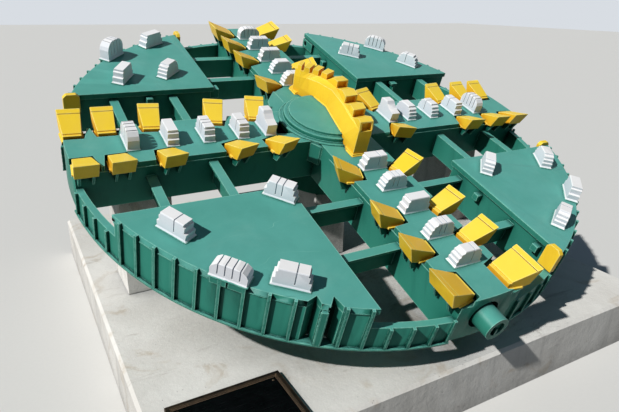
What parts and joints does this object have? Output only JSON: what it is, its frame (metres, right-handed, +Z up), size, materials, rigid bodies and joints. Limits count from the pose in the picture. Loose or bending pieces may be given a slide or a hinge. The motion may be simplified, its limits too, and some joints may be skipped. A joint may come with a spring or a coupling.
{
  "type": "tunnel boring machine cutterhead on plinth",
  "caption": "Round spoked cutterhead with scraper teeth, stepped bits and a curved centre cutter, tilted face up on a low concrete plinth.",
  "frame": {"origin": "centre of the plinth's underside, on the ground", "axes": "+Z up, +Y towards the raised side of the head, +X along the plinth's longer side"},
  "size_m": [2.7846, 2.7663, 1.5571],
  "materials": {
    "green_paint": "satin",
    "yellow_paint": "satin",
    "white_paint": "satin",
    "concrete": "rough",
    "bronze": "dark",
    "dark_plate": "gloss"
  },
  "bodies": {
    "exhibit": {"plinth": "concrete", "support_piers": "concrete", "plaque_frame": "bronze", "plaque_plate": "dark_plate", "hub_drum": "green_paint", "hub_plate": "green_paint", "hub_disc": "green_paint", "centre_cutter": "yellow_paint", "spoke_1": "green_paint", "spoke_2": "green_paint", "spoke_3": "green_paint", "spoke_4": "green_paint", "seats_1": "green_paint", "seats_2": "green_paint", "seats_3": "green_paint", "seats_4": "green_paint", "plate_a": "green_paint", "plate_b": "green_paint", "plate_c": "green_paint", "plate_d": "green_paint", "rim_a": "green_paint", "rim_b": "green_paint", "rim_c": "green_paint", "rim_d": "green_paint", "beams_a": "green_paint", "beams_b": "green_paint", "beams_c": "green_paint", "beams_d": "green_paint", "lugs": "green_paint", "teeth_1": "yellow_paint", "teeth_2": "yellow_paint", "teeth_3": "yellow_paint", "teeth_4": "yellow_paint", "gauge_bits": "yellow_paint", "bits_1": "white_paint", "bits_2": "white_paint", "bits_3": "white_paint", "bits_4": "white_paint", "plate_bits_a": "white_paint", "plate_bits_b": "white_paint", "plate_bits_c": "white_paint", "plate_bits_d": "white_paint", "rim_post": "green_paint", "copy_sleeve": "green_paint"},
    "copy_cutter": {"copy_cutter": "green_paint"}
  },
  "joints": [
    {"name": "copy_cutter_slide", "type": "slide", "parent": "exhibit", "child": "copy_cutter", "axis": [0, -0.9466, -0.3223], "range_m": [-0.07, 0.05]}
  ]
}
